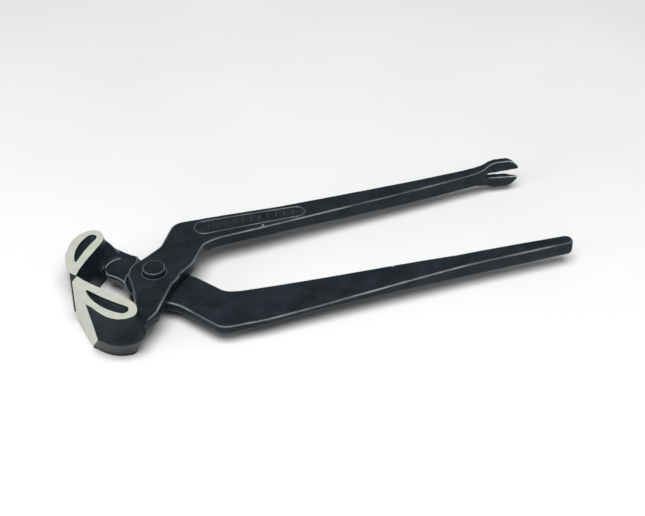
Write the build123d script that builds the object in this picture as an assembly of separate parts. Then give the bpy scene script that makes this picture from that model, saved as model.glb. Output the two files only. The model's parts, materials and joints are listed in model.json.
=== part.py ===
from build123d import *
import os

# Carpenter's end-cutting pincers, 200 mm nominal: two forged halves lapped on one rivet.
# The model is drawn about the pivot: -X to the jaws, +X to the handles, Z along the rivet,
# z = 0 on the plane where the halves lap. At the end everything is moved so that the origin
# is under the middle of the tool, on the surface that its jaws rest on.

# Joint
LAP = 5.0                 # thickness of each half where the halves lap
LAP_GAP = 0.05            # half the clearance between the lapped faces
BOSS_R = 10.5             # round end of each half about the rivet
SHOULDER_R = 11.6         # round shoulder that clears the other half's boss
STEP = 0.9                # how far an arm stands past the lap plane outside its shoulder
EDGE_R = 0.8              # rounding of the forged edges
UNDER_R = 2.0             # heavier rounding under the plain half

# Rivet
RIVET_R = 3.0
RIVET_FIT = 0.05          # running clearance in the half that turns
HEAD_R = 4.65
HEAD_H = 2.7
HEAD_EDGE = 0.6
HEAD_GAP = 0.06
PEEN_R = 4.4
PEEN_H = 1.0
PEEN_EDGE = 0.7
SEAT_R = 5.3              # faced ring that the head sits on
SEAT_DEPTH = 0.25

# Jaws
JAW_TIP_X = -32.7
JAW_HALF = 9.8            # jaws reach this far above and below the lap plane
JAW_MEET_Y = 1.5          # the cutting edges meet a little to the far side of the pivot
JAW_GAP = 0.1             # half the gap between the cutting edges at rest
FAR_JAW_SCALE = 0.87      # the far jaw is forged a little smaller than the near one
NEAR_BEVEL = 0.15         # slope of the ground front face, X per unit of Y
FAR_BEVEL = 0.06
NEAR_WALL = [(-32.6, -9.5), (-28.6, -19.0)]   # how the outer wall runs behind the cutting edge
FAR_WALL = [(-32.4, -10.5), (-29.7, -19.6)]
NEAR_FOOT = (-1.2, 2.3)   # how the near jaw's foot differs from its top: heel, front quarter
FAR_FOOT = (0.0, 0.0)
MIDDLE_GROW = 4.0         # how much thicker a jaw is at the middle of its height
HOLLOW_DEPTH = 1.6

# Handles
HANDLE_FROM_X = 24.0      # the handles leave the lap planes here
HANDLE_EVEN_X = 120.0     # and from here on they are level with each other
HANDLE_HALF = 3.4         # half their height from there to the ends

# Nail claw on the end of one handle
CLAW_ROOT_X = 146.0
CLAW_END_X = 170.0
CLAW_HALF = 6.7
SLOT_APEX_X = 155.2
SLOT_ROOT = 1.9
SLOT_ROOT_R = 0.8
SLOT_MOUTH = 4.0

STANDING = (Align.CENTER, Align.CENTER, Align.MIN)

# Plan corners as (x, y, corner radius), counterclockwise or clockwise round the piece
CLAW_PLAN = [
    (-17.0, -26.0, 0),
    (-12.0, -30.0, 0),
    (-4.6, -24.4, 12),
    (7.4, -5.8, 6),
    (16.2, 0.5, 12),
    (23.6, 11.6, 7),
    (30.0, 13.7, 20),
    (50.0, 15.0, 200),
    (120.0, 21.3, 0),
    (153.0, 24.4, 0),
    (153.0, 29.6, 0),
    (120.0, 28.9, 0),
    (60.0, 27.9, 0),
    (15.2, 29.8, 7),
    (6.3, 15.9, 9),
    (-4.0, 9.3, 0),
    (-10.2, -1.5, 0),
    (-11.2, -18.0, 4),
]
PLAIN_PLAN = [
    (-17.0, 27.0, 0),
    (-12.0, 29.0, 0),
    (-5.4, 20.4, 12),
    (7.4, 5.8, 6),
    (16.2, -0.9, 12),
    (25.2, -14.2, 7),
    (31.0, -15.7, 20),
    (50.0, -17.9, 200),
    (120.0, -25.9, 0),
    (168.9, -28.2, 2.6),
    (168.9, -33.9, 2.6),
    (120.0, -34.2, 0),
    (36.0, -36.8, 60),
    (17.6, -35.9, 7),
    (5.6, -17.4, 9),
    (-4.0, -9.3, 0),
    (-11.2, -4.6, 0),
    (-12.2, 4.5, 10),
    (-17.8, 10.2, 0),
]

# Where each arm may stand past the lap plane and still clear the other half over the whole swing
CLAW_STEP_FIELD = [(-8.0, -8.5), (-3.8, -18.4), (-3.4, -40), (-40, -40), (-40, -8.5)]
PLAIN_STEP_FIELD = [(-7.0, 8.6), (-2.6, 17.0), (2.0, 40), (-40, 40), (-40, -4.7), (-7.0, -4.7)]

# Slope of the wall behind the far jaw, and of the web between each jaw's heel and its arm, in degrees
MOUTH_SLOPE = 20
WEB_SLOPE = 30
WEB_BURIED = 0.5          # how deep the foot of each web lies in its arm
NEAR_WEB_DEPTH = 6.0
FAR_WEB_HEIGHT = 7.2

# Foot of the web between each jaw's heel and its arm, as (x, y)
NEAR_WEB = [(-19, -16.4), (-13.0, -15.7), (-9.4, -17.5), (-9.0, -24.0), (-12.8, -30.0), (-19, -30)]
FAR_WEB = [
    (-21.0, 14.0),
    (-17.4, 14.0),
    (-14.4, 17.2),
    (-9.2, 18.4),
    (-8.4, 22.5),
    (-10.2, 26.4),
    (-14.0, 29.2),
    (-21.0, 29.0),
]

# Side views as (x, z): each handle leaves its lap level and ends level with the other
REACH_X = 180.0           # past both handle ends
REACH_Y = 60.0            # past both handles, to either side
REACH_Z = 20.0            # past both end faces of the jaws
CLAW_TOP = [
    (-20, LAP),
    (HANDLE_FROM_X, LAP),
    (HANDLE_EVEN_X, HANDLE_HALF),
    (REACH_X, HANDLE_HALF),
]
CLAW_BOTTOM = [
    (-20, LAP_GAP),
    (HANDLE_FROM_X, LAP_GAP),
    (HANDLE_EVEN_X, -HANDLE_HALF),
    (REACH_X, -HANDLE_HALF),
]
PLAIN_TOP = [(x, -z) for x, z in CLAW_BOTTOM]
PLAIN_BOTTOM = [
    (-20, -LAP),
    (HANDLE_FROM_X - 14, -LAP),
    (40.0, -3.5),
    (HANDLE_EVEN_X, -HANDLE_HALF),
    (REACH_X, -HANDLE_HALF),
]


def outline(corners):
    """Closed face on z = 0 through corners given as (x, y, corner radius)."""
    points = [(x, y) for x, y, _ in corners]
    radii = [radius for _, _, radius in corners]
    return make_face(FilletPolyline(*points, radius=radii, close=True))


def slab(face, low, high):
    """The face, standing from z = low to z = high."""
    return extrude(Pos(0, 0, low) * face, amount=high - low, dir=(0, 0, 1))


def side_profile(top, bottom):
    """Wide solid between two side-view lines, each a list of (x, z) from the jaws to the end."""
    upper = Spline(*[(x, z) for x, z in top[1:]], tangents=[(1, 0), (1, 0)])
    lower = Spline(*[(x, z) for x, z in bottom[1:]], tangents=[(1, 0), (1, 0)])
    edges = [
        Line(top[0], top[1]),
        upper,
        Line(top[-1], bottom[-1]),
        lower,
        Line(bottom[1], bottom[0]),
        Line(bottom[0], top[0]),
    ]
    face = make_face(edges)
    return extrude(Plane.XZ * face, amount=REACH_Y, both=True)


def jaw_place(far):
    """How a point of the near jaw's drawing goes to its place on the near or the far jaw."""
    if far:
        return lambda x, y: (
            JAW_TIP_X + (x - JAW_TIP_X) * FAR_JAW_SCALE,
            JAW_MEET_Y + JAW_GAP + (JAW_MEET_Y - y) * FAR_JAW_SCALE,
        )
    return lambda x, y: (x, y - JAW_GAP)


def jaw_section(place, wall, z, grow, swell):
    """Crescent section of a jaw. grow thickens its walls and heel, swell its front quarter alone."""
    inner = 0.25 * grow
    front = grow + swell
    (near_x, near_y), (mid_x, mid_y) = wall
    edge = place(-30.2, JAW_MEET_Y)
    nose = place(JAW_TIP_X - 0.3, -1.8)
    round_wall = Spline(
        nose,
        place(near_x - 0.6 * front, near_y - 0.3 * front),
        place(mid_x - 0.75 * front, mid_y - 0.65 * front),
        place(-20.5 - 0.3 * grow, -29.3 - grow),
        place(-14.2 + 0.7 * grow, -28.9 - 0.7 * grow),
        place(-12.6 + 0.8 * grow, -23.2),
        place(-16.5 + inner, -16.6 + inner),
        place(-23.2 + inner, -8.8 + inner),
        edge,
    )
    return Pos(0, 0, z) * make_face([Line(edge, nose), round_wall])


def teardrop(place):
    """Outline of the hollow in a jaw's end faces: pointed to the cutting edge, round at the heel."""
    point = place(-28.9, -7.2)
    inner_end = place(-16.0, -22.9)
    outer_end = place(-19.2, -26.1)
    curves = [
        ThreePointArc(point, place(-22.2, -16.4), inner_end),
        ThreePointArc(inner_end, place(-16.2, -26.0), outer_end),
        ThreePointArc(outer_end, place(-25.9, -18.7), point),
    ]
    return make_face(curves)


def ground_front(place, slope):
    """What grinding the flat front face takes away."""
    corners = [
        place(JAW_TIP_X, -1.8),
        place(JAW_TIP_X + 40 * slope, -41.8),
        place(JAW_TIP_X - 20, -41.8),
        place(JAW_TIP_X - 20, 8.0),
        place(JAW_TIP_X - 7, 8.0),
    ]
    return slab(make_face(Polyline(*corners, close=True)), -JAW_HALF - 1, JAW_HALF + 1)


def jaw(far):
    """One tall crescent jaw, thickest at the middle of its height, ground at the front and ends."""
    place = jaw_place(far)
    wall = FAR_WALL if far else NEAR_WALL
    foot_grow, foot_swell = FAR_FOOT if far else NEAR_FOOT
    sections = [
        jaw_section(place, wall, -JAW_HALF, foot_grow, foot_swell),
        jaw_section(place, wall, 0.0, MIDDLE_GROW, 0.0),
        jaw_section(place, wall, JAW_HALF, 0.0, 0.0),
    ]
    block = loft(sections, ruled=True) - ground_front(place, FAR_BEVEL if far else NEAR_BEVEL)
    hollow = teardrop(place)
    block -= slab(hollow, JAW_HALF - HOLLOW_DEPTH, JAW_HALF + 1)
    block -= slab(hollow, -JAW_HALF - 1, -JAW_HALF + HOLLOW_DEPTH)
    return block


def gusset(foot, low, high):
    """Sloping web between a jaw's heel and its arm, wide at low and narrower at high."""
    face = make_face(Polyline(*foot, close=True))
    web = extrude(face, amount=abs(high - low), taper=WEB_SLOPE, dir=(0, 0, 1))
    if high < low:
        web = mirror(web, about=Plane.XY)
    return Pos(0, 0, low) * web


def is_upright(edge):
    """True for an edge that runs along Z."""
    run = (edge @ 1) - (edge @ 0)
    return abs(run.Z) > 0.9 * edge.length


def blank(plan, top, bottom):
    """A half without its jaw and with sharp edges: the plan, cut to its side view."""
    return slab(outline(plan) + Circle(BOSS_R), -REACH_Z, REACH_Z) & side_profile(top, bottom)


def long_edges(solid):
    """The edges that run along a blank, on top and underneath."""
    return [edge for edge in solid.edges() if not is_upright(edge)]


def claw_forging():
    """The claw half without its jaw and claw, rounded alike on top and underneath."""
    half = blank(CLAW_PLAN, CLAW_TOP, CLAW_BOTTOM)
    return fillet(long_edges(half), EDGE_R)


def plain_forging():
    """The plain half without its jaw, rounded more heavily underneath than on top."""
    half = blank(PLAIN_PLAN, PLAIN_TOP, PLAIN_BOTTOM)
    for radius, under in ((EDGE_R, False), (UNDER_R, True)):
        half = fillet([edge for edge in long_edges(half) if ((edge @ 0.5).Z < -LAP / 2) == under], radius)
    return half


def arm_step(plan, field, low, high):
    """The part of an arm that stands past the lap plane, clear of the other half as it turns."""
    return slab((outline(plan) & make_face(Polyline(*field, close=True))) - Circle(SHOULDER_R), low, high)


def nail_claw():
    """Flared and forked end of the claw handle, thinning to a wedge at its tips."""
    plan = Polyline(
        (CLAW_ROOT_X, 23.8),
        (154.0, 24.5),
        (156.5, 25.4),
        (CLAW_END_X, 23.7),
        (CLAW_END_X, 25.1),
        (165.0, 27.7),
        (158.0, 28.6),
        (CLAW_ROOT_X, 29.4),
        close=True,
    )
    upper = [
        (CLAW_ROOT_X - 1, HANDLE_HALF, 0),
        (150.0, HANDLE_HALF, 20),
        (154.0, 4.4, 16),
        (159.0, CLAW_HALF, 8),
        (166.5, CLAW_HALF, 5),
        (CLAW_END_X, 3.4, 1.2),
    ]
    lower = [(x, -z, radius) for x, z, radius in reversed(upper)]
    side = extrude(Plane.XZ * outline(upper + lower), amount=REACH_Y, both=True)
    head = slab(make_face(plan), -CLAW_HALF - 1, CLAW_HALF + 1) & side
    past_end = CLAW_END_X + 1
    slot = [
        (SLOT_APEX_X, SLOT_ROOT / 2, SLOT_ROOT_R),
        (past_end, SLOT_MOUTH / 2, 0),
        (past_end, -SLOT_MOUTH / 2, 0),
        (SLOT_APEX_X, -SLOT_ROOT / 2, SLOT_ROOT_R),
    ]
    return head - extrude(Plane.XZ * outline(slot), amount=REACH_Y, both=True)


def rivet():
    """Shank, upper head and low peened head, as one solid."""
    under_head = LAP + HEAD_GAP - SEAT_DEPTH
    shank = Pos(0, 0, -LAP) * Cylinder(RIVET_R, LAP + under_head, align=STANDING)
    head = Pos(0, 0, under_head) * Cylinder(HEAD_R, HEAD_H, align=STANDING)
    head = fillet(head.edges().group_by(Axis.Z)[-1], HEAD_EDGE)
    peen = Pos(0, 0, -LAP - PEEN_H) * Cylinder(PEEN_R, PEEN_H, align=STANDING)
    peen = fillet(peen.edges().group_by(Axis.Z)[0], PEEN_EDGE)
    return head + shank + peen


def claw_half():
    """The half that turns: the near jaw, the upper lap and the handle with the nail claw."""
    half = claw_forging()
    half += arm_step(CLAW_PLAN, CLAW_STEP_FIELD, -STEP, 1.0)
    half += gusset(NEAR_WEB, LAP_GAP + WEB_BURIED, -NEAR_WEB_DEPTH)
    half += jaw(far=False)
    half += nail_claw()
    half -= Cylinder(RIVET_R + RIVET_FIT, 2 * REACH_Z)
    half -= Pos(0, 0, LAP - SEAT_DEPTH) * Cylinder(SEAT_R, REACH_Z, align=STANDING)
    return half


def mouth_draft():
    """What the wall behind the far jaw loses towards its foot, where it leans back."""
    mouth = [(-22.0, 6.0), (-19.8, 11.4), (-17.8, 10.2), (-13.2, 5.4), (-16.0, 2.0)]
    face = make_face(Polyline(*mouth, close=True))
    lean = extrude(face, amount=LAP + 1, taper=-MOUTH_SLOPE, dir=(0, 0, 1))
    return mirror(lean, about=Plane.XY)


def plain_half():
    """The half that holds the rivet: the far jaw, the lower lap and the plain handle."""
    half = plain_forging() - mouth_draft()
    half += arm_step(PLAIN_PLAN, PLAIN_STEP_FIELD, -1.0, STEP)
    half += gusset(FAR_WEB, -LAP_GAP - WEB_BURIED, FAR_WEB_HEIGHT)
    half += jaw(far=True)
    half -= Cylinder(RIVET_R, 2 * REACH_Z)
    return half


pieces = {
    "claw_handle_half": claw_half(),
    "plain_handle_half": plain_half(),
    "pivot_rivet": rivet(),
}
boxes = [piece.bounding_box() for piece in pieces.values()]
x_low, x_high = min(box.min.X for box in boxes), max(box.max.X for box in boxes)
y_low, y_high = min(box.min.Y for box in boxes), max(box.max.Y for box in boxes)
z_low = min(box.min.Z for box in boxes)
pivot = (-(x_low + x_high) / 2, -(y_low + y_high) / 2, -z_low)

os.makedirs("parts", exist_ok=True)
for name, piece in pieces.items():
    export_step(Pos(*pivot) * piece, f"parts/{name}.step")
print("pivot axis at", pivot)
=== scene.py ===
"""Carpenter's end-cutting pincers: black enamelled forgings with ground jaw faces, on a pale floor."""

import json
import math

import bmesh
import bpy
from mathutils import Matrix, Vector, noise
from mathutils.bvhtree import BVHTree

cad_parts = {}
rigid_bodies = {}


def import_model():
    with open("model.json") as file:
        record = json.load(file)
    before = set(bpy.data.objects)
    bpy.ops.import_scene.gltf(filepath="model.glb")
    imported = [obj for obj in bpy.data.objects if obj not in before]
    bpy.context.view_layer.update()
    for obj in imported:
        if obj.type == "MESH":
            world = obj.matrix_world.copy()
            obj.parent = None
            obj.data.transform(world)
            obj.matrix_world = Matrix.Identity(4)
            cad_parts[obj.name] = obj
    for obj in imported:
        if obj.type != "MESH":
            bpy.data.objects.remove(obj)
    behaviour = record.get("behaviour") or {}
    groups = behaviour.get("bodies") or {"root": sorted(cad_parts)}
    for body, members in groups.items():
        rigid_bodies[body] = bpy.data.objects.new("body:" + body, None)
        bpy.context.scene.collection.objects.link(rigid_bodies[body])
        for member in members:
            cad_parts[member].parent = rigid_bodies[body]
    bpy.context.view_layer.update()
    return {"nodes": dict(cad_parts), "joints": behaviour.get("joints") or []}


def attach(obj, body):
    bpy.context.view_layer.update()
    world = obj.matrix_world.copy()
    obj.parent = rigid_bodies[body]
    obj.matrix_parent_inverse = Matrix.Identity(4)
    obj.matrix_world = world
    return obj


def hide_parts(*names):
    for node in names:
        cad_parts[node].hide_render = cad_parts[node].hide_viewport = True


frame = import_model()

MM = 0.001
HINGE = frame["joints"][0]
PIVOT = Vector(HINGE["pos_m"])
PLAIN_BODY = HINGE["parent"]
CLAW_BODY = HINGE["child"]
CLAW_NODE = "claw_handle_half"
PLAIN_NODE = "plain_handle_half"
RIVET_NODE = "pivot_rivet"

# Down to the camera, millimetres about the pivot, as the halves are drawn: -X to the jaws
ABOVE_ALL = 20.0                   # higher than any part of the object
JAW_HALF = 9.8                     # half the height of a jaw, which ends in a ground face each way
FRONT_LIMIT = -20.0                # the ground front faces lie in front of this x
NEAR_TIP = Vector((-32.7, -1.9, 0.0))      # a point on the near jaw's ground front face
FAR_TIP = Vector((-32.7, 4.47, 0.0))       # and one on the far jaw's
NEAR_BEVEL = 0.15                  # slopes of the two front faces
FAR_BEVEL = 0.06
EDGES_MEET = (-30.2, 1.5)          # the upright line where the cutting edges meet
PROUD = 0.9                        # how far the forging stands past a ground face before grinding
TOUCH = 0.002                      # a vertex this close to a plane lies in it
VOXEL = 0.34
RIVET_VOXEL = 0.2
ENAMELLED, GROUND = 0, 1           # the two materials of a half

# Soft limits of the smoothing: each effect is nothing at the first value and full at the second
EDGE_KEPT = (1.5, 5.0)             # distance from the line of the cutting edges
HEEL_SIDE = (8.0, 14.0)            # sideways from the pivot
HEEL_BACK = (3.0, 7.0)             # forwards from the pivot
HEEL_FRONT = (-33.0, -24.0)        # x
HEEL_TOP = (0.1, 3.0)              # down from the jaw's end face
SEAT_KEPT = (11.0, 13.5)           # distance from the pivot
ELBOW = (30.0, 60.0)               # x, where a handle starts to be rounded
HANDLE_END = (90.0, 165.0)         # x, where it is rounded more
CLAW_CRISP = (146.0, 154.0)        # x, where the claw handle gets crisp again
ELBOW_ROUNDING = 0.35
END_ROUNDING = 0.65
CRISPNESS = 0.85

# Dents in the forged skin
BROAD_DENT, BROAD_WAVES = 0.035, 0.22      # depth, and waves per millimetre
FINE_DENT, FINE_WAVES = 0.006, 0.9
FINE_SHIFT = Vector((7.0, 3.0, 1.0))
LAP_KEPT = (0.3, 0.8)              # height above or below the lap: no dents, and dents in full

# Where the painted highlights along the upper edges stop towards the jaws: none at the first value, full at
# the second
ARM_START = (-10.0, -8.0)          # x, at any y
ARM_ROOT = (-20.0, -19.0)          # x, between the next two limits
ARM_NEAR_SIDE = (-15.0, -13.0)     # y
ARM_FAR_SIDE = (15.0, 13.0)        # y

# The ring that the rivet's head sits on
SEAT_RADIUS = 4.95
SEAT_WIRE = 0.14
SEAT_MARGIN = 1.2                  # from the ring out to the flat whose height it takes
SEAT_STEP = 5                      # degrees

# The obround panel forged into the top of the claw handle
PANEL_LEFT = (26.8, 22.6, 4.3)     # centre and radius of its end near the pivot
PANEL_RIGHT = (66.6, 21.8, 3.4)
PANEL_ARC_STEPS = 12
RIM_RADIUS = 0.5
RIM_SUNK = 0.28
RIM_STEP = 0.8
RIB_COUNT = 11
RIB_STEPS = 4
RIB_SLANT = 1.0                    # how far a rib runs along the handle
RIB_REACH = 1.7                    # half a rib's length at the panel's start
RIB_TAPER = 0.4                    # what that loses along the panel
RIB_RADIUS = 0.3
RIB_SUNK = 0.18

# The edge between the far jaw's heel and its arm, a bead that carries a painted highlight
RIDGE_RADIUS = 0.24
RIDGE_SUNK = 0.10
RIDGE_STEPS = 6
HEEL_RIDGE = [
    (-17.0, 14.3),
    (-16.1, 15.5),
    (-14.8, 16.7),
    (-13.2, 17.6),
    (-11.5, 18.1),
    (-9.6, 18.3),
]

# Camera, from the pivot; lens, sensor and distances in millimetres
CAMERA_AZIMUTH = math.radians(-18.73)
CAMERA_ELEVATION = math.radians(37.891)
CAMERA_DISTANCE = 579.49
CAMERA_RIGHT = 66.946
CAMERA_UP = 10.047
CAMERA_DROP = -0.6
CAMERA_LENS = 80.87
SENSOR = 36.0

# Enamel: (red, green, blue) of its dark and light mottling and of the painted highlight along its upper
# edges
DARK = (0.008, 0.012, 0.015)
LIGHT = (0.015, 0.020, 0.025)
# Painted highlight: the colour below is laid on sharp, upward-facing edges where the key light would glint
PAINTED_HIGHLIGHT = (0.24, 0.26, 0.28)
# Painted highlight, dimmer, for the panel's rim and ribs
RELIEF_HIGHLIGHT = (0.035, 0.042, 0.048)
RIVET_DARK = (0.007, 0.011, 0.014)
RIVET_LIGHT = (0.014, 0.019, 0.023)
# Painted highlight along the rivet's upper edges and the top of the seat ring
RIVET_HIGHLIGHT = (0.20, 0.21, 0.22)
HIGHLIGHT_GAIN = 1.2                  # how much lighter the lightest grain of the painted highlight is
SHARP = (0.510, 0.535)             # pointiness of an edge where the painted highlight starts, and where it is full
UPWARD = (0.25, 0.6)               # the same for the upward part of a face's normal, as the painted highlight keeps to upward-facing edges

# Ground steel
PALE = (0.41, 0.43, 0.37)
PALER = (0.52, 0.54, 0.47)
BLOTCHED = (0.93, 0.93, 0.93)      # multiplies the two above
CLEAN = (1.0, 1.0, 1.0)

# Studio, in metres and watts
FLOOR_SIZE = 8.0
FLOOR_DARK = (0.68, 0.68, 0.68)
FLOOR_LIGHT = (0.71, 0.71, 0.71)
AIM = Vector((0, 0, 0.01))
SKY = (0.95, 0.98, 1.0, 1.0)
SKY_STRENGTH = 0.2


def to_drawing(mesh):
    """From the row frame in metres to millimetres about the pivot."""
    mesh.transform(Matrix.Scale(1 / MM, 4) @ Matrix.Translation(-PIVOT))


def to_frame(mesh):
    """From millimetres about the pivot back to the row frame in metres."""
    mesh.transform(Matrix.Translation(PIVOT) @ Matrix.Scale(MM, 4))


def add_object(name, mesh):
    piece = bpy.data.objects.new(name, mesh)
    bpy.context.scene.collection.objects.link(piece)
    return piece


def apply_modifiers(piece):
    """Replaces the piece's mesh by what its modifiers make of it."""
    graph = bpy.context.evaluated_depsgraph_get()
    result = bpy.data.meshes.new_from_object(piece.evaluated_get(graph))
    piece.modifiers.clear()
    piece.data = result


def voxel_remesh(piece, size):
    """Rebuilds the piece's skin as an even mesh."""
    remesh = piece.modifiers.new("remesh", "REMESH")
    remesh.mode = "VOXEL"
    remesh.voxel_size = size
    remesh.use_smooth_shade = True
    apply_modifiers(piece)


def ramp(value, low, high):
    """0 at or below low, 1 at or above high, and smooth between."""
    t = min(max((value - low) / (high - low), 0.0), 1.0)
    return t * t * (3 - 2 * t)


def front_plane(far):
    """A point on a jaw's ground front face, and the face's outward normal."""
    if far:
        return FAR_TIP, Vector((-1.0, FAR_BEVEL, 0.0)).normalized()
    return NEAR_TIP, Vector((-1.0, -NEAR_BEVEL, 0.0)).normalized()


def stand_proud(mesh, far):
    """Moves the jaw's ground faces outwards, so that they can be ground back after the smoothing."""
    point, normal = front_plane(far)
    build = bmesh.new()
    build.from_mesh(mesh)
    bmesh.ops.remove_doubles(build, verts=build.verts, dist=TOUCH / 2)
    for vert in build.verts:
        on_front = abs((vert.co - point).dot(normal)) < TOUCH and vert.co.x < FRONT_LIMIT
        if abs(vert.co.z) > JAW_HALF - TOUCH:
            vert.co.z += math.copysign(PROUD, vert.co.z)
        if on_front:
            vert.co.x -= PROUD
    build.to_mesh(mesh)
    build.free()


def off_the_edge(place):
    """0 at the line where the cutting edges meet, which stays sharp, and 1 away from it."""
    return ramp(math.hypot(place.x - EDGES_MEET[0], place.y - EDGES_MEET[1]), *EDGE_KEPT)


def forging_softness(place, far):
    """How much the heavy smoothing works at a point: most at the heel and web of each jaw."""
    side = 1 if far else -1
    heel = ramp(side * place.y, *HEEL_SIDE) * ramp(-place.x, *HEEL_BACK) * ramp(place.x, *HEEL_FRONT)
    inside = ramp(JAW_HALF - abs(place.z), *HEEL_TOP)
    off_seat = ramp(math.hypot(place.x, place.y), *SEAT_KEPT)
    return heel * inside * off_seat


def handle_softness(place, far):
    """How much the handles are rounded: gently from the elbow and more to the ends, but not the claw."""
    rounding = ELBOW_ROUNDING * ramp(place.x, *ELBOW) + END_ROUNDING * ramp(place.x, *HANDLE_END)
    return rounding if far else rounding * (1 - CRISPNESS * ramp(place.x, *CLAW_CRISP))


def smooth_by(piece, weigh, iterations):
    """Smooths the piece as strongly as weigh(point) says, from 0 to 1."""
    group = piece.vertex_groups.new(name="softness")
    for vert in piece.data.vertices:
        group.add([vert.index], weigh(vert.co), "REPLACE")
    smooth = piece.modifiers.new("smooth", "SMOOTH")
    smooth.factor = 0.5
    smooth.iterations = iterations
    smooth.vertex_group = group.name
    apply_modifiers(piece)
    piece.vertex_groups.clear()


def hammer(mesh):
    """Sinks the skin a little and unevenly, as a forging's is, but not where the halves lap."""
    normals = [vert.normal.copy() for vert in mesh.vertices]
    for vert, normal in zip(mesh.vertices, normals):
        broad = noise.noise(vert.co * BROAD_WAVES)
        fine = noise.noise(vert.co * FINE_WAVES + FINE_SHIFT)
        depth = BROAD_DENT * (1 + broad) + FINE_DENT * (1 + fine)
        vert.co -= normal * depth * ramp(abs(vert.co.z), *LAP_KEPT)


def grind(build, point, normal):
    """Cuts away what stands past a plane, and closes the cut with flat faces of the ground material."""
    geometry = list(build.verts) + list(build.edges) + list(build.faces)
    cut = bmesh.ops.bisect_plane(
        build, geom=geometry, dist=TOUCH, plane_co=point, plane_no=normal, clear_outer=True
    )
    rim = [item for item in cut["geom_cut"] if isinstance(item, bmesh.types.BMEdge)]
    fill = bmesh.ops.triangle_fill(build, edges=rim, use_beauty=True, use_dissolve=False, normal=normal)
    for edge in rim:
        edge.smooth = False
    for item in fill["geom"]:
        if isinstance(item, bmesh.types.BMFace):
            item.material_index = GROUND
            item.smooth = False


def grind_jaw(mesh, far):
    """Grinds the jaw's front and both its end faces flat, and leaves the rest enamelled."""
    build = bmesh.new()
    build.from_mesh(mesh)
    for face in build.faces:
        face.smooth = True
        face.material_index = ENAMELLED
    grind(build, *front_plane(far))
    for side in (1, -1):
        grind(build, Vector((0, 0, side * JAW_HALF)), Vector((0, 0, side)))
    bmesh.ops.recalc_face_normals(build, faces=build.faces)
    build.to_mesh(mesh)
    build.free()


def make_half(name, node, body, enamel, steel, far):
    """One forged half: the CAD shape with a smoothed and hammered skin, then ground flat at the jaw."""
    mesh = frame["nodes"][node].data.copy()
    to_drawing(mesh)
    stand_proud(mesh, far)
    mesh.materials.clear()
    mesh.materials.append(enamel)
    piece = add_object(name, mesh)
    voxel_remesh(piece, VOXEL)
    smooth_by(piece, off_the_edge, iterations=2)
    smooth_by(piece, lambda place: forging_softness(place, far), iterations=60)
    smooth_by(piece, lambda place: handle_softness(place, far), iterations=12)
    voxel_remesh(piece, VOXEL)      # the smoothing has bunched the vertices, so the skin is made even again
    smooth_by(piece, off_the_edge, iterations=3)
    hammer(piece.data)
    piece.data.materials.append(steel)
    grind_jaw(piece.data, far)
    to_frame(piece.data)
    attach(piece, body)
    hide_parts(node)
    return piece


class Nodes:
    """Short ways to build a material's node tree."""

    COLOUR_A, COLOUR_B, COLOUR_OUT = 6, 7, 2       # a Mix node's sockets when it mixes colours

    def __init__(self, name):
        self.material = bpy.data.materials.new(name)
        self.material.use_nodes = True
        self.tree = self.material.node_tree
        self.shader = self.tree.nodes["Principled BSDF"]

    def add(self, kind, **settings):
        """A new node, with values for its sockets or its own settings."""
        node = self.tree.nodes.new(kind)
        for key, value in settings.items():
            if key in node.inputs:
                node.inputs[key].default_value = value
            else:
                setattr(node, key, value)
        return node

    def link(self, source, target):
        self.tree.links.new(source, target)

    def noise(self, scale, detail=3.0, stretch=(1, 1, 1)):
        """Noise in the object's own metres; scale is in cycles per metre."""
        coords = self.add("ShaderNodeTexCoord")
        mapping = self.add("ShaderNodeMapping")
        mapping.inputs["Scale"].default_value = stretch
        texture = self.add("ShaderNodeTexNoise", Scale=scale, Detail=detail)
        self.link(coords.outputs["Object"], mapping.inputs["Vector"])
        self.link(mapping.outputs["Vector"], texture.inputs["Vector"])
        return texture.outputs["Fac"]

    def ramp(self, source, stops):
        """Colour ramp through (position, colour) stops."""
        node = self.add("ShaderNodeValToRGB")
        elements = node.color_ramp.elements
        while len(elements) < len(stops):
            elements.new(0.5)
        for element, (position, colour) in zip(elements, stops):
            element.position = position
            element.color = (*colour, 1.0)
        self.link(source, node.inputs["Fac"])
        return node.outputs["Color"]

    def spread(self, source, low, high, out_low, out_high):
        """Maps a value from low..high to out_low..out_high."""
        node = self.add("ShaderNodeMapRange")
        node.inputs["From Min"].default_value = low
        node.inputs["From Max"].default_value = high
        node.inputs["To Min"].default_value = out_low
        node.inputs["To Max"].default_value = out_high
        self.link(source, node.inputs["Value"])
        return node.outputs["Result"]

    def times(self, first, second):
        """Product of two values, kept between 0 and 1."""
        node = self.add("ShaderNodeMath", operation="MULTIPLY", use_clamp=True)
        self.link(first, node.inputs[0])
        self.link(second, node.inputs[1])
        return node.outputs[0]

    def mix(self, factor, first, second):
        """Colour mix of two colour outputs."""
        node = self.add("ShaderNodeMix", data_type="RGBA")
        self.link(factor, node.inputs["Factor"])
        self.link(first, node.inputs[self.COLOUR_A])
        self.link(second, node.inputs[self.COLOUR_B])
        return node.outputs[self.COLOUR_OUT]

    def multiply(self, first, second):
        """Product of two colour outputs."""
        node = self.add("ShaderNodeMix", data_type="RGBA", blend_type="MULTIPLY")
        node.inputs[0].default_value = 1.0
        self.link(first, node.inputs[self.COLOUR_A])
        self.link(second, node.inputs[self.COLOUR_B])
        return node.outputs[self.COLOUR_OUT]

    def bump(self, height, distance, strength, normal=None):
        """Normal of a skin with this height, distance metres deep, laid over another normal if given."""
        node = self.add("ShaderNodeBump")
        node.inputs["Distance"].default_value = distance
        node.inputs["Strength"].default_value = strength
        self.link(height, node.inputs["Height"])
        if normal is not None:
            self.link(normal, node.inputs["Normal"])
        return node.outputs["Normal"]


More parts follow.
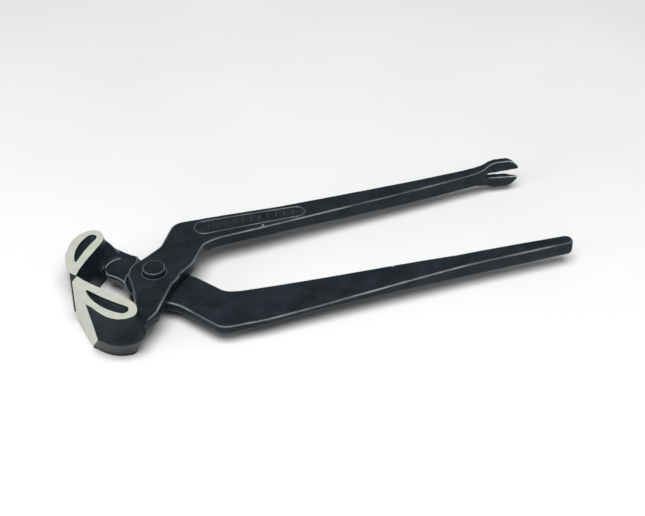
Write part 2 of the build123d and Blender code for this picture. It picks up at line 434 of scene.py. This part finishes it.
def highlight_region(nodes):
    """1 on the arms and handles, which get painted highlights along their edges, and 0 on the heels and
    walls of the jaws.
    """
    coords = nodes.add("ShaderNodeTexCoord")
    place = nodes.add("ShaderNodeSeparateXYZ")
    nodes.link(coords.outputs["Object"], place.inputs[0])
    x, y = place.outputs["X"], place.outputs["Y"]

    def past(coordinate, pivot, limits):
        start, end = (pivot + limit * MM for limit in limits)
        return nodes.spread(coordinate, start, end, 0.0, 1.0)

    arms = past(x, PIVOT.x, ARM_START)
    behind_jaw = past(x, PIVOT.x, ARM_ROOT)
    between = nodes.times(past(y, PIVOT.y, ARM_NEAR_SIDE), past(y, PIVOT.y, ARM_FAR_SIDE))
    either = nodes.add("ShaderNodeMath", operation="MAXIMUM")
    nodes.link(arms, either.inputs[0])
    nodes.link(nodes.times(behind_jaw, between), either.inputs[1])
    return either.outputs[0]


def enamel_material(name, dark, light, edge, highlight_on_handles_only=False):
    """Black over a forged skin: mottled, fine-grained, and with painted highlights along its upper edges.
    """
    nodes = Nodes(name)
    mottle = nodes.ramp(nodes.noise(140.0), [(0.35, dark), (0.68, light)])
    grain = nodes.noise(2600.0, 2.0)
    geometry = nodes.add("ShaderNodeNewGeometry")
    convex = nodes.spread(geometry.outputs["Pointiness"], *SHARP, 0.0, 1.0)
    facing = nodes.add("ShaderNodeSeparateXYZ")
    nodes.link(geometry.outputs["Normal"], facing.inputs[0])
    upward = nodes.spread(facing.outputs["Z"], *UPWARD, 0.0, 1.0)
    patches = nodes.spread(nodes.noise(60.0), 0.4, 0.6, 0.35, 1.0)
    # Painted highlight: a light colour on sharp, upward-facing edges, broken into patches
    highlight_mask = nodes.times(nodes.times(convex, upward), patches)
    if highlight_on_handles_only:
        highlight_mask = nodes.times(highlight_mask, highlight_region(nodes))
    lighter = tuple(HIGHLIGHT_GAIN * part for part in edge)
    highlight_colour = nodes.ramp(grain, [(0.2, edge), (0.8, lighter)])
    nodes.link(nodes.mix(highlight_mask, mottle, highlight_colour), nodes.shader.inputs["Base Color"])
    # The painted highlight is made glossier as well
    nodes.link(nodes.spread(highlight_mask, 0.0, 1.0, 0.12, 0.8), nodes.shader.inputs["Specular IOR Level"])
    nodes.link(nodes.spread(nodes.noise(300.0), 0.3, 0.7, 0.26, 0.36), nodes.shader.inputs["Roughness"])
    skin = nodes.bump(nodes.noise(520.0, 4.0), 0.0001, 0.12)
    nodes.link(nodes.bump(grain, 0.00004, 0.2, skin), nodes.shader.inputs["Normal"])
    return nodes.material


def ground_steel_material():
    """Bare steel off the grinding wheel: pale, with fine parallel scratches and a little mottling."""
    nodes = Nodes("ground_steel")
    scratches = nodes.noise(900.0, 4.0, (0.12, 3.0, 1.0))
    tone = nodes.ramp(scratches, [(0.3, PALE), (0.7, PALER)])
    blotch = nodes.ramp(nodes.noise(260.0, 5.0), [(0.4, BLOTCHED), (0.62, CLEAN)])
    nodes.link(nodes.multiply(tone, blotch), nodes.shader.inputs["Base Color"])
    nodes.link(nodes.spread(scratches, 0.3, 0.7, 0.36, 0.5), nodes.shader.inputs["Roughness"])
    nodes.link(nodes.bump(scratches, 0.00004, 0.3), nodes.shader.inputs["Normal"])
    nodes.shader.inputs["Metallic"].default_value = 0.1
    return nodes.material


def floor_material():
    """Pale and matt, with a very faint mottling."""
    nodes = Nodes("studio_floor")
    tone = nodes.ramp(nodes.noise(6.0), [(0.4, FLOOR_DARK), (0.6, FLOOR_LIGHT)])
    nodes.link(tone, nodes.shader.inputs["Base Color"])
    nodes.shader.inputs["Roughness"].default_value = 0.9
    return nodes.material


def surface_under(piece):
    """A function that gives the height of the piece's top at (x, y), in drawing millimetres."""
    mesh = piece.data.copy()
    to_drawing(mesh)
    points = [vert.co for vert in mesh.vertices]
    faces = [face.vertices for face in mesh.polygons]
    tree = BVHTree.FromPolygons(points, faces)
    bpy.data.meshes.remove(mesh)

    def height(x, y):
        return tree.ray_cast(Vector((x, y, ABOVE_ALL)), Vector((0, 0, -1)))[0].z

    return height


def panel_outline():
    """Points round the obround panel."""
    (x0, y0, r0), (x1, y1, r1) = PANEL_LEFT, PANEL_RIGHT
    lean = math.asin((r0 - r1) / math.hypot(x1 - x0, y1 - y0))
    tilt = math.atan2(y1 - y0, x1 - x0)
    points = []
    for x, y, radius, first, last in (
        (x0, y0, r0, math.pi / 2 - lean, 3 * math.pi / 2 + lean),
        (x1, y1, r1, -math.pi / 2 + lean, math.pi / 2 - lean),
    ):
        for step in range(PANEL_ARC_STEPS + 1):
            angle = tilt + first + (last - first) * step / PANEL_ARC_STEPS
            points.append((x + radius * math.cos(angle), y + radius * math.sin(angle)))
    return points


def refine(points, step):
    """A closed line through the points, with no stretch longer than step."""
    result = []
    for (x0, y0), (x1, y1) in zip(points, points[1:] + points[:1]):
        count = max(1, math.ceil(math.hypot(x1 - x0, y1 - y0) / step))
        result += [(x0 + (x1 - x0) * i / count, y0 + (y1 - y0) * i / count) for i in range(count)]
    return result


def bead(name, lines, radius, sunk, height, closed):
    """Round beads along lines of (x, y), with their middles sunk this far below the surface."""
    curve = bpy.data.curves.new(name, "CURVE")
    curve.dimensions = "3D"
    curve.bevel_depth = radius
    curve.bevel_resolution = 3
    curve.use_fill_caps = True
    for line in lines:
        spline = curve.splines.new("POLY")
        spline.points.add(len(line) - 1)
        for point, (x, y) in zip(spline.points, line):
            point.co = (x, y, height(x, y) - sunk, 1.0)
        spline.use_cyclic_u = closed
    source = add_object(name, curve)
    graph = bpy.context.evaluated_depsgraph_get()
    mesh = bpy.data.meshes.new_from_object(source.evaluated_get(graph))
    bpy.data.objects.remove(source)
    for face in mesh.polygons:
        face.use_smooth = True
    to_frame(mesh)
    return add_object(name, mesh)


def make_panel(half, enamel):
    """The panel's raised rim and the plain ribs inside it."""
    height = surface_under(half)
    rim_line = refine(panel_outline(), RIM_STEP)
    rim = bead("panel_rim", [rim_line], RIM_RADIUS, RIM_SUNK, height, closed=True)
    (x0, y0, _), (x1, y1, _) = PANEL_LEFT, PANEL_RIGHT
    ribs = []
    for index in range(RIB_COUNT):
        t = (index + 0.5) / RIB_COUNT
        x = x0 + (x1 - x0) * t
        y = y0 + (y1 - y0) * t
        reach = RIB_REACH - RIB_TAPER * t
        parts = [step / RIB_STEPS - 0.5 for step in range(RIB_STEPS + 1)]
        ribs.append([(x + RIB_SLANT * part, y + 2 * reach * part) for part in parts])
    bars = bead("panel_ribs", ribs, RIB_RADIUS, RIB_SUNK, height, closed=False)
    # The relief enamel paints a dim highlight along the tops of the rim and ribs
    for piece in (rim, bars):
        piece.data.materials.append(enamel)
        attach(piece, CLAW_BODY)


def make_heel_ridge(half, enamel):
    """The crisp edge where the far jaw's heel meets the flat of its arm, as a bead whose bright line is a
    painted highlight.
    """
    line = []
    for (x0, y0), (x1, y1) in zip(HEEL_RIDGE, HEEL_RIDGE[1:]):
        parts = [step / RIDGE_STEPS for step in range(RIDGE_STEPS)]
        line += [(x0 + (x1 - x0) * part, y0 + (y1 - y0) * part) for part in parts]
    ridge = bead("heel_ridge", [line], RIDGE_RADIUS, RIDGE_SUNK, surface_under(half), closed=False)
    ridge.data.materials.append(enamel)
    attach(ridge, PLAIN_BODY)


def make_rivet(black):
    """The rivet with its heads' edges softened."""
    mesh = frame["nodes"][RIVET_NODE].data.copy()
    to_drawing(mesh)
    mesh.materials.clear()
    # The rivet's enamel paints highlights along its upper edges
    mesh.materials.append(black)
    piece = add_object("rivet", mesh)
    voxel_remesh(piece, RIVET_VOXEL)
    smooth_by(piece, lambda place: 1.0, iterations=4)
    to_frame(piece.data)
    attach(piece, PLAIN_BODY)
    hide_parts(RIVET_NODE)


def make_seat_ring(half, black):
    """A thin bead round the faced ring that the rivet's head sits on, standing for the ring's edge; the
    light along its top is a painted highlight.
    """
    level = surface_under(half)(SEAT_RADIUS + SEAT_MARGIN, 0.0)
    angles = [math.radians(angle) for angle in range(0, 360, SEAT_STEP)]
    line = [(SEAT_RADIUS * math.cos(angle), SEAT_RADIUS * math.sin(angle)) for angle in angles]
    ring = bead("seat_ring", [line], SEAT_WIRE, 0.0, lambda x, y: level, closed=True)
    ring.data.materials.append(black)
    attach(ring, CLAW_BODY)


def add_area_light(name, place, size, watts):
    """A rectangular light that faces the object."""
    light = bpy.data.lights.new(name, "AREA")
    light.shape = "RECTANGLE"
    light.size, light.size_y = size
    light.energy = watts
    lamp = add_object(name, light)
    lamp.location = place
    lamp.rotation_euler = (AIM - Vector(place)).to_track_quat("-Z", "Y").to_euler()


def build_studio():
    """Pale floor, soft key light above the camera side, dim even surroundings."""
    bpy.ops.mesh.primitive_plane_add(size=FLOOR_SIZE, location=(0, 0, 0))
    floor = bpy.context.object
    floor.name = "studio_floor"
    floor.data.materials.append(floor_material())
    add_area_light("key", place=(-0.16, -0.50, 1.15), size=(1.0, 0.8), watts=23.0)
    add_area_light("fill", place=(-1.1, -0.3, 0.4), size=(0.6, 0.4), watts=4.0)
    world = bpy.data.worlds.new("studio")
    world.use_nodes = True
    background = world.node_tree.nodes["Background"]
    background.inputs["Color"].default_value = SKY
    background.inputs["Strength"].default_value = SKY_STRENGTH
    bpy.context.scene.world = world
    bpy.context.scene.view_settings.view_transform = "Standard"


def add_camera():
    """The camera in front of the object and to its left, looking down on it."""
    azimuth, elevation = CAMERA_AZIMUTH, CAMERA_ELEVATION
    back = Vector((
        math.sin(azimuth) * math.cos(elevation),
        -math.cos(azimuth) * math.cos(elevation),
        math.sin(elevation),
    ))
    right = Vector((math.cos(azimuth), math.sin(azimuth), 0))
    up = back.cross(right)
    lens = bpy.data.cameras.new("camera")
    lens.lens = CAMERA_LENS
    lens.sensor_width = SENSOR
    lens.clip_end = 20.0
    camera = add_object("camera", lens)
    offset = CAMERA_RIGHT * right + CAMERA_UP * up + CAMERA_DISTANCE * back + Vector((0, 0, CAMERA_DROP))
    turn = Matrix((right, up, back)).transposed().to_4x4()
    camera.matrix_world = Matrix.Translation(PIVOT + offset * MM) @ turn
    bpy.context.scene.camera = camera


# Each enamel paints highlights along its upper edges; the first keeps them to the arms and handles
enamel = enamel_material("black_enamel", DARK, LIGHT, PAINTED_HIGHLIGHT, highlight_on_handles_only=True)
# This enamel paints highlights on every upper edge, with no limit to the handles
ridge_enamel = enamel_material("enamel_ridge_painted_highlight", DARK, LIGHT, PAINTED_HIGHLIGHT)
relief = enamel_material("enamel_relief_painted_highlights", DARK, LIGHT, RELIEF_HIGHLIGHT)
rivet_black = enamel_material("blackened_rivet", RIVET_DARK, RIVET_LIGHT, RIVET_HIGHLIGHT)
steel = ground_steel_material()

claw_half = make_half("claw_half_forging", CLAW_NODE, CLAW_BODY, enamel, steel, far=False)
plain_half = make_half("plain_half_forging", PLAIN_NODE, PLAIN_BODY, enamel, steel, far=True)
make_panel(claw_half, relief)
make_heel_ridge(plain_half, ridge_enamel)
make_rivet(rivet_black)
make_seat_ring(claw_half, rivet_black)

build_studio()
add_camera()
